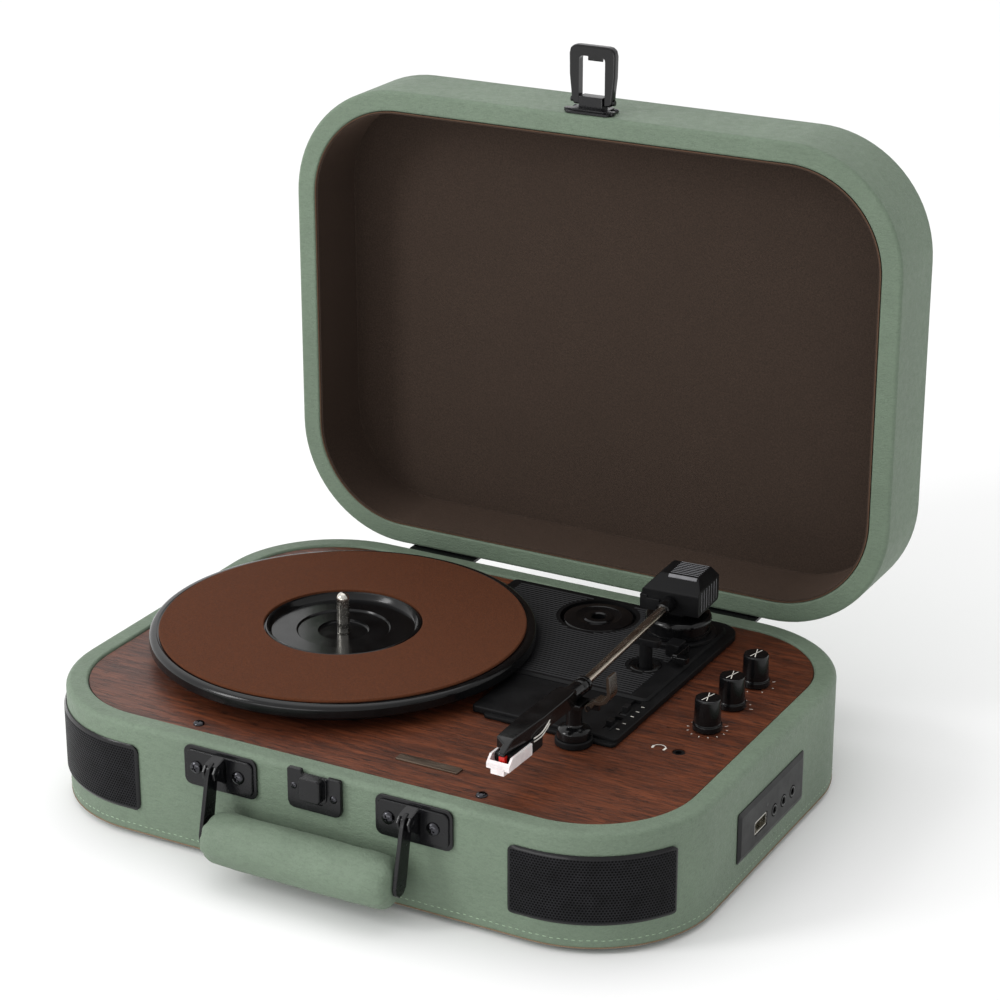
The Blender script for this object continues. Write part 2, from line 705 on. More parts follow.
# ---- platter
platter_profile = [
    (3.6, 69), (56, 69), (56, 72), (PLATTER_R - 3.5, 72), (PLATTER_R - 3.4, 69.2),
    (PLATTER_R - 0.6, 69.2), (PLATTER_R, 70), (PLATTER_R, 73.6), (PLATTER_R - 0.25, 74.6),
    (PLATTER_R - 1.0, 75.6), (PLATTER_R - 2.2, 76.05), (FELT_R + 1.4, 76.1), (FELT_R + 0.5, 75.5),
    (HUB_R - 0.5, 75.5), (HUB_R - 0.7, 76.3), (HUB_R - 1.4, 76.6), (HUB_R - 2.4, 76.3),
    (HUB_R - 3.2, 74.2), (HUB_R - 4, 73.4), (24.6, 73.4), (24.2, 72.6), (23.6, 72.4), (13.4, 72.4),
    (13.1, 71.3), (12.6, 71), (3.6, 71),
]
platter_at = (SPINDLE.x, SPINDLE.y, 0)
platter_disc = turned(platter_profile, platter_at, n=160)
piece("platter_disc", platter_disc, "platter", "gloss", "platter")
mat_profile = [
    (HUB_R, 75.8), (FELT_R, 75.8), (FELT_R + 0.1, 76.4), (FELT_R - 0.3, 77.05), (FELT_R - 1, 77.2),
    (HUB_R + 1, 77.2), (HUB_R + 0.2, 77),
]
slip_mat = turned(mat_profile, platter_at, n=160)
slip_mat = piece("slip_mat", slip_mat, "platter", "felt", "felt_mat")
pin_profile = [
    (0, 66.3), (9, 66.3), (9, 67.5), (3.6, 67.9), (3.3, 68.4), (3.3, 70.6), (3.0, 70.8), (3.0, 71.4),
    (3.3, 71.6), *arc(0, 90.2, 3.3, 0, 90, 8),
]
spindle_pin = turned(pin_profile, platter_at, n=40)
piece("spindle_pin", spindle_pin, "base", "steel", "spindle")

# ---- tonearm plate
motor_hole = prism(disc(motor_at.x, motor_at.y, 6.5, 24), 50, 80)
plate_corners = (2, 14, 3, 2)
plate_layers = [
    slab(32, 113, 94.6, 247, PLATE_LOW, PLATE_TOP, plate_corners, edge=1.1, segments=3),
    slab(40, 113, 91.3, 120, PLATE_LOW, 64.2, 2.5, edge=0.6, segments=2),
    slab(-25, 113, 180, 247, PLATE_LOW, PLATE_TOP, plate_corners, edge=1.1, segments=3),
    prism(disc(SPINDLE.x, SPINDLE.y, 88, 96), PLATE_LOW, PLATE_TOP, edge=0.8),
    prism(disc(CLIP_PIN.x - 9.6, CLIP_PIN.y, 9.5, 40), PLATE_LOW, PLATE_TOP, edge=1.1, segments=3),
]
rib_step = slab(-20, 108, 138.6, 243, PLATE_TOP - 1, RIB_TOP, (3, 11, 3, 3), edge=1.2, segments=1)
plate = carved(plate_layers[0], *plate_layers[1:], rib_step, operation="UNION")
plate_cuts = [
    prism(disc(*ADAPTER_AT, 20.5, 64), 63.5, 80, edge=0.4),
    prism(disc(*CUE_AT, 8.6, 40), PLATE_TOP, 80),
    motor_hole,
    slab(101.3, 105.7, 120, 138.5, PLATE_TOP - 1.5, 80, 0.6, n=3),
    slab(101.3, 105.7, 102, 117.5, PLATE_TOP - 1.5, 80, 0.6, n=3),
]
plate = carved(plate, *plate_cuts)
piece("arm_plate", plate, "base", "matt", "tonearm_plate")
well_profile = [(4.2, 66.1), (8.4, 66.1), (8.4, 67.3), (7.9, 67.7), (5.2, 67.2), (4.2, 66.9)]
cue_well = turned(well_profile, (*CUE_AT, 0))
piece("cue_well", cue_well, "base", "gloss")


def rib_rows():
    """Fine raised ribs across the plate's rear step, broken round what stands on it."""
    islands = [(*ADAPTER_AT, 22.5), (87, 220, 21.5), (*CUE_AT, 10.5), (SPINDLE.x, SPINDLE.y, PLATTER_R - 6)]
    bm = bmesh.new()
    y = 142.5
    while y < 240:
        spans = [(-17.0, 98.0)]
        for cx, cy, r in islands:
            if abs(y - cy) < r:
                half = sqrt(r * r - (y - cy) ** 2)
                cut = []
                for a, b in spans:
                    if cx - half > a:
                        cut.append((a, min(b, cx - half)))
                    if cx + half < b:
                        cut.append((max(a, cx + half), b))
                spans = [(a, b) for a, b in cut if b - a > 1]
        for a, b in spans:
            section = [(y - 0.62, RIB_TOP - 0.05), (y + 0.62, RIB_TOP - 0.05), (y, RIB_TOP + 0.42)]
            stacked([[(x, v, w) for v, w in section] for x in (a, b)], bm)
        y += 2.35
    return bm


piece("plate_ribs", rib_rows(), "base", "rib", sharp=20)

adapter_profile = [
    (3.7, 63.8), (19, 63.8), (19, 66.2), (18.4, 66.9), (16.5, 67.2), (12.5, 67.8), (11.8, 67.2),
    (8.4, 66.8), (7.6, 67.5), (4.6, 67.6), (3.7, 67.0),
]
adapter = turned(adapter_profile, (*ADAPTER_AT, 0), n=72)
piece("centre_adapter", adapter, "adapter_45", "gloss", "adapter_45")

# ---- controls
for label, y in KNOB_YS.items():
    knob_profile = [
        (0, 52), (2.8, 52), (2.8, 62.5), (7.2, 62.5), (7.5, 62.8), (7.5, 65.0), (7.3, 65.5),
        (6.8, 65.7), (6.6, 66.1), (6.8, 66.6), (6.5, 78.2), (6.2, 79.1), (5.4, 79.5), (0, 79.5),
    ]
    knob = turned(knob_profile, (KNOB_X, y, 0), n=56)
    body = label + "_knob"
    piece(label + "_cap", knob, body, "gloss", body)
    mark = [ribbon([(KNOB_X - s, y - 4.6), (KNOB_X + s, y + 4.6)], 0.4, 79.45, 0.12) for s in (-1.3, 1.3)]
    piece(label + "_mark", joined(*mark), body, "print", sharp=80)

jack_bore = rod(1.75, 46, 65, (*HEADPHONE, 0), n=24)
jack = carved(
    turned([(0, 56), (3, 56), (3.2, 61.2), (3.0, 61.7), (2.4, 61.8), (0, 61.8)], (*HEADPHONE, 0), n=32),
    jack_bore,
)
piece("headphone_ferrule", jack, "base", "satin")

# ---- grilles
GRILLE_X = 104
GRILLE_WRAP = 64


def grille(side):
    """A thin sheet that follows the corner, with rounded corners and UV in millimetres."""
    inner, outer = CASE_R + 0.3, CASE_R + 1.5
    flat = CASE_W / 2 - CASE_R - GRILLE_X
    length = flat + radians(GRILLE_WRAP) * CASE_R
    z0, z1, r = 16.0, 52.0, 4.0
    border = 1.7
    steps = 54
    stops = [0.0, 0.5, 1.0, border]
    stops += [border + (length - 2 * border) * i / steps for i in range(1, steps)]
    stops += [length - s for s in (border, 1.0, 0.5, 0.0)]
    columns = []
    for s in stops:
        near = min(s, length - s)
        drop = r - sqrt(max(0.0, r * r - (r - near) ** 2)) if near < r else 0.0
        columns.append((s, z0 + drop, z1 - drop))
    rim = border / (z1 - z0)
    fine = [0.0, rim] + [rim + (1 - 2 * rim) * k / 13 for k in range(1, 13)] + [1 - rim, 1.0]
    bm = bmesh.new()
    uv = bm.loops.layers.uv.new("mesh")

    def spot(s, radius):
        if s <= flat:
            return GRILLE_X + s, CASE_R - radius
        a = (s - flat) / CASE_R
        return CASE_W / 2 - CASE_R + radius * sin(a), CASE_R - radius * cos(a)

    rows = []
    for radius in (inner, outer):
        grid = []
        for s, low, high in columns:
            line = []
            for t in fine:
                z = low + (high - low) * t
                edge = min(1.0, min(s, length - s, z - z0, z1 - z) / 1.2)
                lift = radius if radius == inner else inner + 0.25 + (outer - inner - 0.25) * sqrt(edge)
                x, y = spot(s, lift)
                line.append((bm.verts.new((side * x, y, z)), s, z))
            grid.append(line)
        rows.append(grid)

    def face(corners, plain=True):
        made = bm.faces.new([corner[0] for corner in corners])
        made.material_index = int(plain)
        for loop, corner in zip(made.loops, corners):
            loop[uv].uv = (corner[1], corner[2])

    last = len(fine) - 1
    end = len(stops) - 1
    for grid in rows:
        for i in range(end):
            for k in range(last):
                plain = k in (0, last - 1) or min(stops[i + 1], length - stops[i]) <= border + 0.01
                face([grid[i][k], grid[i + 1][k], grid[i + 1][k + 1], grid[i][k + 1]], plain)
    a, b = rows
    for i in range(end):
        for k in (0, last):
            face([a[i][k], a[i + 1][k], b[i + 1][k], b[i][k]])
    for i in (0, end):
        for k in range(last):
            face([a[i][k], a[i][k + 1], b[i][k + 1], b[i][k]])
    return bm


for label, side in SIDES:
    node = "speaker_grille_" + label
    sheet_metal = piece("grille_" + label, grille(side), "base", "grille", node)
    sheet_metal.data.materials.append(M["enamel"])

# ---- side sockets
face_x = CASE_W / 2
side_y, side_z = (SIDE["y0"] + SIDE["y1"]) / 2, (SIDE["z0"] + SIDE["z1"]) / 2
side_l, side_h = SIDE["y1"] - SIDE["y0"], SIDE["z1"] - SIDE["z0"]
panel_rings = []
for inset, r, out in ((0, 1.4, 0.3), (0, 1.4, 0.55), (2.5, 1.0, 1.4), (2.9, 0.9, 1.5)):
    ring = outline(side_l - 2 * inset, side_h - 2 * inset, r, side_y, side_z, 4)
    panel_rings.append([(face_x + out, y, z) for y, z in ring])


def usb_prism(grow, r, low, high):
    """The USB socket's outline, grown by a margin, as a prism through the side."""
    y0, y1, z0, z1 = USB
    return slab(y0 - grow, y1 + grow, z0 - grow, z1 + grow, low, high, r, "x", n=3)


holes = [usb_prism(0.3, 0.8, *THROUGH_SIDE)]
holes += [prism(disc(y, JACK_Z, 3.4, 32), *THROUGH_SIDE, "x") for y in JACK_YS]
panel = carved(stacked(panel_rings), *holes)
piece("socket_panel", panel, "base", "satin", "side_socket_plate", slot="matt_plastic")
usb_body = usb_prism(0, 0.7, face_x - 16, face_x + 1.2)
usb_hole = usb_prism(-0.8, 0.5, *THROUGH_SIDE)
tongue = box(face_x - 11, face_x - 0.4, USB[0] + 2, USB[1] - 2, 28.2, 29.6, 0.2, 1)
piece("usb_shell", carved(usb_body, usb_hole), "base", "steel", "usb_socket")
piece("usb_tongue", tongue, "base", "print")
jack_profile = [(1.75, -9), (3.05, -9), (3.05, 1.2), (2.8, 1.7), (2.2, 1.8), (1.75, 1.4)]
for node, y in zip(("aux_jack", "line_out_jack", "power_jack"), JACK_YS):
    jack_at = (face_x, y, JACK_Z)
    ring = turned(jack_profile, jack_at, "x", 32)
    plug = rod(1.75, -10, -8.5, jack_at, "x", 16)
    piece(node + "_ring", joined(ring, plug), "base", "gloss", node)
lamp = turned([(0, 0), (0.8, 0), (0.8, 0.55), (0, 0.7)], (face_x + 1.0, 122.9, 34.6), "x", 20)
piece("status_lamp", lamp, "base", "gloss")

# ---- brackets and handle
for label, side in SIDES:
    x = side * BRACKET_X
    plate_body = slab(x - 21, x + 21, 39.8, 61.2, -1.6, -0.3, 4, "y", 0.45)
    raised = slab(x - 19.2, x + 19.2, 41.6, 59.4, -2.7, -1, 3, "y", 0.9, 3)
    slot = slab(x - 4.4, x + 4.4, 38, 57.5, -3.4, -1.7, 1.6, "y", 0.3, n=4)
    trough = carved(raised, slot)
    gusset = [(-1.4, 59.4), (-1.4, 44.5), (-6.4, 48.2), (-11.4, 50.8), (-12, 54.5), (-9.6, 57.4)]
    ears = [prism(gusset, x + s - 0.75, x + s + 0.75, "x", 0.35) for s in (-2.9, 2.9)]
    roof = [(-2.2, 59.5), (-2.2, 58.2), (-9.4, 56.4), (-9.8, 57.4)]
    ears.append(prism(roof, x - 3.2, x + 3.2, "x", 0.2))
    pin = rod(HANDLE_PIN_R, x - 4.6, x + 4.6, HANDLE_PIN, "x", 20)
    node = "handle_bracket_" + label
    bracket = joined(plate_body, trough, *ears, pin)
    piece("bracket_" + label, bracket, "base", "enamel", node)
    places = [(x - 13.2, -2.6, 50.5, 3.4, "front"), (x + 11.2, -2.6, 50.5, 3.4, "front")]
    screws("bracket_screws_" + label, places, "base")

    strap_side = [
        (-4.2, 54.6), (-5.4, 57.4), (-8.4, 58.6), (-11.6, 57), (-13.4, 53), (-20.6, 24), (-20.2, 20.4),
        (-17.4, 18.2), (-13.6, 18.6), (-10.8, 21.4),
    ]
    strip = prism(strap_side, x - 1.1, x + 1.1, "x", 0.5, 3)
    eye = rod(HANDLE_BORE, x - 3, x + 3, HANDLE_PIN, "x", 20)
    node = "handle_arm_" + label
    piece("strap_" + label, carved(strip, eye), "handle", "enamel", node)


def grip_surface():
    """The padded grip's cover: a roll that draws in towards its ends, before it is filled."""
    length, around = 64, 40
    rows = []
    for i in range(length + 1):
        t = -1 + 2 * i / length
        end = max(0.0, (abs(t) - 0.7) / 0.3)
        size = 0.6 + 0.34 * sqrt(max(0.0, 1 - end**3))
        row = []
        for k in range(around):
            a = 2 * pi * k / around
            r = GRIP_R * size
            row.append((t * GRIP_HALF, GRIP_Y + r * cos(a), GRIP_Z + r * sin(a)))
        rows.append(row)
    return stacked(rows)


def filled(obj, voxel=0.0035, pressure=4.0, cap=0.0012, frames=20):
    """Swells a padded cover on its filling with a cloth simulation, and keeps the result."""
    skins = list(obj.data.materials)
    obj.modifiers.clear()
    even = obj.modifiers.new("even_mesh", "REMESH")
    even.mode = "VOXEL"
    even.voxel_size = voxel
    start = bpy.data.meshes.new_from_object(evaluated(obj))
    obj.modifiers.clear()
    obj.data = start
    fill = obj.modifiers.new("fill", "CLOTH")
    fill.settings.use_pressure = True
    fill.settings.uniform_pressure_force = pressure
    fill.settings.effector_weights.gravity = 0
    fill.point_cache.frame_start = 1
    fill.point_cache.frame_end = frames
    for moment in range(1, frames + 1):
        SCENE.frame_set(moment)
    swollen = evaluated(obj).data
    places = [v.co.copy() for v in swollen.vertices]
    obj.modifiers.clear()
    SCENE.frame_set(1)
    for vertex, place in zip(start.vertices, places):
        shift = place - vertex.co
        if shift.length > cap:
            shift.length = cap
        vertex.co += shift
    start.materials.clear()
    for skin in skins:
        start.materials.append(skin)
    finer = obj.modifiers.new("finer", "SUBSURF")
    finer.levels = finer.render_levels = 1
    obj.data = bpy.data.meshes.new_from_object(evaluated(obj))
    obj.modifiers.clear()
    return obj


def puckered(obj):
    """Leather pleats at both ends of the grip and shallow wrinkles along it."""
    half = GRIP_HALF * MM
    axis_y, axis_z = shell_low.y + GRIP_Y * MM, GRIP_Z * MM
    for vertex in obj.data.vertices:
        x = (vertex.co.x - MID_X) / half
        dy, dz = vertex.co.y - axis_y, vertex.co.z - axis_z
        a = atan2(dz, dy)
        end = min(1.0, max(0.0, (abs(x) - 0.6) / 0.36))
        pleat = 0.45 * end * sin(9 * a + 2.3 * sin(2 * a) + 5 * x)
        crease = noise.noise(Vector((x * 3.4, a * 2.2, 4.7))) * 0.4
        wrinkle = noise.noise(Vector((x * 16, a * 4.0, 1.3))) * 0.16
        out = (pleat + crease + wrinkle) * MM
        r = hypot(dy, dz) or 1
        vertex.co.y += out * dy / r
        vertex.co.z += out * dz / r
    obj.data.shade_smooth()


grip = piece("grip_pad", grip_surface(), "handle", "green", "handle_grip", sharp=80)
puckered(filled(grip))

# ---- catch
catch_shape = [
    (-15, 46), (-14, 43.5), (-11.8, 42.6), (11.8, 42.6), (14, 43.5), (15, 46), (15, 61.6),
    (14.1, 62.6), (7.6, 62.6), (7.0, 61.6), (-6.6, 61.6), (-7.2, 63.8), (-14.1, 63.8), (-15, 63.0),
]
catch_base = prism(catch_shape, -2.8, -0.3, "y", 0.6, 3)
pocket = slab(-5, 5, 47.2, 49.2, -4, -2.2, 0.4, "y", n=3)
boss_rim = slab(-7.4, 7.4, 48.9, 62, -3.5, -2.4, 2.2, "y", 0.4, n=4)
catch_lump = slab(-5.9, 5.9, 49.8, 62.2, -7.4, -2, 1.8, "y", 1.1, 3, n=4)
catch = joined(carved(catch_base, pocket), boss_rim, catch_lump)
piece("catch", catch, "base", "enamel", "catch_plate")
screws("catch_screws", [(-11.2, -2.4, 54.6, 1.8, "front"), (11, -2.4, 52.2, 2.1, "front")], "base")

# ---- lid
LIP = 2.0
lid_profile = [
    *arc(EDGE, LID_TOP - EDGE, EDGE, 90, 180), (0, 92), (0, 80),
    *arc(LIP, LID_Z + LIP, LIP, 180, 270, 5), *arc(RIM - ROLL, LID_Z + ROLL, ROLL, 270, 360, 4),
    (RIM, LID_CEILING),
]
lid_body = stacked(swept_case(lid_profile))
piece("case_lid", lid_body, "lid", "green", "lid_shell", LID)

SKIN = 0.9
SOFT = 0.8
outer_in, inner_in = RIM + 0.35, RIM + 0.35 + SKIN
top = LID_CEILING - 0.35
lining_profile = [
    (outer_in, LID_Z + 1.2), (outer_in - 0.05, LID_Z + 0.7), (outer_in + 0.45, LID_Z + 0.45),
    (inner_in + 0.25, LID_Z + 0.9), (inner_in + 0.3, LID_Z + 1.9), (inner_in, LID_Z + 2.8),
    *arc(inner_in + SOFT, top - SKIN - SOFT, SOFT, 180, 90, 8),
]
back_profile = arc(outer_in + SOFT, top - SOFT, SOFT, 90, 180, 8)
edge_profile = [
    (outer_in - 0.3, LID_Z + 0.5), (outer_in - 0.3, LID_Z + 0.15), (outer_in + 0.3, LID_Z + 0.15),
    (outer_in + 0.3, LID_Z + 0.5),
]
piece("liner_edge", stacked(swept_case(edge_profile), closed=True), "lid", "card", space=LID)
lining_body = stacked(swept_case(back_profile + lining_profile))
lining = piece("lid_liner", lining_body, "lid", "lining", "lid_lining", LID)

# ---- hinges
HINGE_X = 87
HINGE_HALF = 21
BARREL_R = 3.2
BARREL_GAP = 8
LEAF_T = 1.8
for label, side in SIDES:
    x = side * HINGE_X
    y = CASE_D + 0.3
    low, high = x - HINGE_HALF, x + HINGE_HALF
    pin = (x, HINGE.y, HINGE.z)
    base_leaf = [
        slab(low, high, 28, 52, y, y + LEAF_T, 2.5, "y", 0.4, n=4),
        box(low, x - BARREL_GAP, y, y + LEAF_T, 50, 55, 0.3, 1),
        box(x + BARREL_GAP, high, y, y + LEAF_T, 50, 55, 0.3, 1),
        rod(BARREL_R, -HINGE_HALF, -BARREL_GAP, pin, "x", 28),
        rod(BARREL_R, BARREL_GAP, HINGE_HALF, pin, "x", 28),
        rod(PIN_R, -10, 10, pin, "x", 16),
    ]
    node = "hinge_leaf_base_" + label
    piece("hinge_base_" + label, joined(*base_leaf), "base", "enamel", node)
    lid_leaf = [
        slab(low, high, HINGE.z + 3.6, 84, y, y + LEAF_T, 2.5, "y", 0.4, n=4),
        box(x - 7.7, x + 7.7, y, y + LEAF_T, HINGE.z, HINGE.z + 4, 0.3, 1),
        rod(BARREL_R, -7.7, 7.7, pin, "x", 28, PIN_BORE),
    ]
    node = "hinge_leaf_lid_" + label
    piece("hinge_lid_" + label, joined(*lid_leaf), "lid", "enamel", node, LID)
    for body, heights, space in (("base", (34, 44), CASE), ("lid", (66, 77), LID)):
        spots = [(x + dx, y + 1.7, z, 2.2, "back") for dx in (-14, 14) for z in heights]
        screws(f"hinge_{body}_screws_{label}", spots, body, space=space)

# ---- latch
latch_plate = joined(
    slab(-13, 13, 64.6, 79, -1.5, -0.3, 2, "y", 0.35, n=4),
    slab(-10.4, 10.4, 66, 78.4, -2.5, -1.2, 1.5, "y", 0.4, n=4),
    slab(-14.5, -9, 67, 71, -2.3, -0.4, 1, "y", 0.3, n=3),
    slab(9, 14.5, 67, 71, -2.3, -0.4, 1, "y", 0.3, n=3),
)
knuckle = joined(
    box(-7, 7, LATCH_Y - 2.7, -1.5, 69.4, 76.6, 0.7, 2),
    rod(PIN_R, -12.8, 12.8, LATCH_PIN, "x", 18),
)
piece("latch_base", joined(latch_plate, knuckle), "lid", "enamel", "latch_bracket", LID)
screws("latch_screws", [(-11.8, -1.5, 76, 1.3, "front"), (11.8, -1.5, 76, 1.3, "front")], "lid", space=LID)

far, near = LATCH_Y - 29.5, LATCH_Y + 2.3
loop_outer = [
    (13.5, far + 5), (12.9, far + 2), (10.9, far + 0.3), (8.5, far), (-8.5, far), (-10.9, far + 0.3),
    (-12.9, far + 2), (-13.5, far + 5), (-13.3, far + 16), (-12.3, near - 7), (-11.9, near - 2),
    (-10.6, near), (10.6, near), (11.9, near - 2), (12.3, near - 7), (13.3, far + 16),
]
loop_body = prism(loop_outer, LATCH_Z - 2.1, LATCH_Z + 2.6, "z", 2.0, 3)
window = slab(-7.6, 7.6, far + 5.6, near + 12, LATCH_Z - 5, LATCH_Z + 5, 2.2, n=4)
pin_hole = rod(PIN_BORE, -13, 13, LATCH_PIN, "x", 20)
loop = carved(carved(loop_body, window), pin_hole)
tab_side = [
    (far + 2.6, LATCH_Z + 3), (far + 2.6, LATCH_Z + 1.8), (far + 8.5, LATCH_Z + 1.8),
    (far + 9, LATCH_Z + 2.2), (far + 8.2, LATCH_Z + 2.8), (far + 6.2, LATCH_Z + 3.2),
    (far + 4, LATCH_Z + 3.2),
]
tab = prism(tab_side, -4.4, 4.4, "x", 0.35)
piece("latch_frame", joined(loop, tab), "latch", "gloss", "latch_loop", LID, slot="black_metal")

# ---- tonearm
rest_ring = turned([(6.5, 67.8), (20, 67.8), (20, 69), (19.2, 69.5), (6.5, 69.6)], n=64)
piece("arm_foot", rest_ring, "base", "satin", "tonearm_base", ARM, slot="matt_plastic")
turret_profile = [
    (0, 68.1), (6, 68.1), (6, 70), (17.5, 70), (17.5, 71.4), (16.8, 71.8), (16.8, 76), (17.5, 76.4),
    (17.5, 77.8), (16.9, 79), (15.6, 79.8), (0, 79.8),
]
pin = rod(2, -12.5, 12.5, TUBE_LINE, "x", 20)
turret = joined(turned(turret_profile, n=64), box(-5, 5, -5, 5, 79, 93, 0.6), pin)
piece("arm_turret_body", turret, "turret", "gloss", "tonearm_turret", ARM)

housing_side = [(-13, 84), (15, 84), (16, 86), (16, 98), (12, 103.4), (-6, 103.4), (-13, 96)]
housing_front = [(-16, 84), (16, 84), (16, 98), (13, 103.4), (-8, 103.4), (-16, 95)]
housing = prism(housing_side, -16, 16, "x")
housing = carved(housing, prism(housing_front, -20, 20, "y"), operation="INTERSECT")
housing = bevelled(housing, 0.7, 2, 15)
housing_cuts = [
    box(-7, 7, -8, 8, 80, 95.5),
    rod(2.35, -13, 13, TUBE_LINE, "x", 20),
    rod(2.7, -20, -10, TUBE_LINE, "y", 24),
]
housing = carved(housing, *housing_cuts)
piece("arm_housing", housing, "tonearm", "matt", "tonearm_housing", ARM)
top_ribs = [box(-3.4, 12.2, 10.7 - 2.1 * i, 11.0 - 2.1 * i, 103.1, 103.7, 0.1, 1) for i in range(8)]
side_ribs = [box(15.8, 16.3, -9 + 3.4 * i, -8.6 + 3.4 * i, 86, 97, 0.15, 1) for i in range(7)]
brow = prism([(-6.4, 103.6), (-7.6, 102.3), (-7.5, 101.9), (-6.2, 103.2)], -3.4, 12.4, "x", 0.1)
piece("housing_ribs", joined(*top_ribs, *side_ribs, brow), "tonearm", "line", space=ARM)
step = box(-16.8, -12.5, -13.5, 4, 84.4, 92.5, 0.5, 2)
front_step = box(-13, -5.5, -14, -12, 84.4, 91, 0.5, 2)
piece("housing_steps", joined(step, front_step), "tonearm", "satin", space=ARM, slot="matt_plastic")

tube = rod(TUBE_R, -NECK_AT - 1, -10.5, TUBE_LINE, "y", 32)
piece("arm_pipe", tube, "tonearm", "tube", "tonearm_tube", ARM)
collar_profile = [
    (TUBE_R, -24), (3.3, -23.8), (3.7, -22.6), (4.2, -14.2), (3.9, -13.4), (TUBE_R, -13.3),
]
piece("arm_collar", turned(collar_profile, TUBE_LINE, "y", 32), "tonearm", "gloss", space=ARM)

shell_side = [
    (-12, 86.5), (-12, 94.3), (-15, 94.8), (-50, 94), (-70, 92.6), (-73, 91.4), (-79, 88), (-79, 86.5),
]
shell_plan = [
    (4.6, -12), (-4.6, -12), (-5.3, -20), (-6, -60), (-6, -71), (-0.9, -74), (-0.9, -79), (2.5, -79),
    (2.8, -71), (5.3, -46), (5.3, -20),
]
shell = carved(prism(shell_side, -8, 8, "x"), prism(shell_plan, 80, 100, "z"), operation="INTERSECT")
shell = bevelled(shell, 0.9, 3, 24)
neck_profile = [(0, -13), (4.2, -13), (4.2, -3), (3.7, -2.4), (4.2, -1.6), (4.2, 1), (3.7, 1.5), (0, 1.5)]
neck_bore = rod(3.1, -3, 10, TUBE_LINE, "y", 24)
neck = carved(turned(neck_profile, TUBE_LINE, "y", 32), neck_bore)
piece("head_shell", joined(shell, neck), "tonearm", "gloss", "headshell", HEAD)
ring_profile = [(TUBE_R, 2.2), (3.9, 2.2), (4.2, 2.6), (4.2, 4.4), (3.8, 4.8), (TUBE_R, 4.8)]
piece("head_ring", turned(ring_profile, TUBE_LINE, "y", 32), "tonearm", "gloss", space=HEAD)


def wire(points, r, n=8):
    """A round wire through points, on a smooth curve."""
    fine = []
    last = len(points) - 1
    for i in range(last):
        a, b, c, d = (Vector(points[min(max(i + k, 0), last)]) for k in (-1, 0, 1, 2))
        for s in range(6):
            t = s / 6
            bend = (2 * a - 5 * b + 4 * c - d) * t**2 + (3 * b - a - 3 * c + d) * t**3
            fine.append(0.5 * (2 * b + (c - a) * t + bend))
    fine.append(Vector(points[-1]))
    rings = []
    for i, point in enumerate(fine):
        along = (fine[min(i + 1, len(fine) - 1)] - fine[max(i - 1, 0)]).normalized()
        side = along.orthogonal().normalized()
        up = along.cross(side)
        turns = [2 * pi * k / n for k in range(n)]
        rings.append([point + (side * cos(t) + up * sin(t)) * r for t in turns])
    return stacked(rings)


leads = []
for i in range(2):
    z = 87.4 + 1.7 * i
    run = [(5.2, -40, z + 1.2), (6.1, -44, z + 0.6), (6.3, -50, z - 1.2), (5, -55, z - 2.4)]
    leads.append(wire(run, 0.33))
piece("pickup_leads", joined(*leads), "tonearm", "print", space=HEAD)
pickup = joined(box(-4.6, 4.6, -75.1, -57, 81.5, 86.2, 0.5), box(-5, 5, -58, -46, 79, 86.2, 0.7))
piece("pickup", pickup, "tonearm", "satin", "cartridge", HEAD)
needle_side = [(-78.2, 81.2), (-60, 81.2), (-60, 79.8), (-71, 79.2), (-75, 78.6), (-78.2, 79.6)]
needle = joined(prism(needle_side, -2.6, 2.6, "x", 0.3), box(-0.8, 2.4, -78.2, -75.4, 80, 86.2, 0.4))
piece("needle_block", needle, "tonearm", "red", "stylus", HEAD)
upper = [(-80.4, 80), (-80.4, 82.8), (-77, 86.1), (-58.4, 86.1), (-58.4, 80)]
lower = [(-80.8, 77.7), (-80.8, 81), (-62, 81), (-62, 79), (-63.5, 77.7)]
guard = carved(prism(upper, -6.2, 6.2, "x"), prism(lower, -3.6, 3.6, "x"), operation="UNION")
guard = carved(
    bevelled(guard, 0.5, 2, 20),
    box(-5, 5, -79.2, -50, 80.8, 90),
    box(-3, 3, -79.2, -50, 78.4, 90),
)
piece("needle_guard", guard, "stylus_guard", "guard", "stylus_guard", HEAD)

# ---- arm rest
post = (CLIP_PIN.x - 9.6, CLIP_PIN.y)
rest_profile = [
    (0, 66.2), (8.4, 66.2), (8.5, 69.6), (7.9, 70.8), (6.6, 71.6), (4.6, 72.4), (4, 73.6), (4, 83.5),
    (0, 83.5),
]
seat_top = TUBE_Z - 4.5
rest_parts = [
    turned(rest_profile, (*post, 0), n=48),
    box(post[0] - 9, post[0] + 6, post[1] - 5.5, post[1] + 5.5, 82.5, seat_top, 0.7),
    box(post[0], CLIP_PIN.x + 1.5, post[1] + 4.3, post[1] + 6.5, 80, 84.6, 0.4),
    rod(1.2, -4, 6.4, CLIP_PIN, "y", 16),
    rod(2.2, 4.3, 6.5, CLIP_PIN, "y", 24),
]
piece("rest_post", joined(*rest_parts), "base", "gloss", "arm_rest")

CLIP_DX, CLIP_INNER, CLIP_T, CLIP_TAB = 9.6, 5.4, 2.0, 8
rise = TUBE_Z - CLIP_PIN.z
outer = CLIP_INNER + CLIP_T
hook = [
    *arc(0, 0, 2.2, 180, 342, 8), *arc(-CLIP_DX, rise, outer, -14, 90, 12),
    (-CLIP_DX - CLIP_TAB, rise + outer), (-CLIP_DX - CLIP_TAB, rise + outer - 1.5),
    (-CLIP_DX - 3, rise + CLIP_INNER), *arc(-CLIP_DX, rise, CLIP_INNER, 90, -22, 12),
]
clip = carved(prism(hook, -4, 4, "y", 0.35), rod(1.5, -6, 6, (0, 0, 0), "y", 16))
piece("swing_clip", clip, "arm_clip", "smoke", "arm_clip", CLIP)

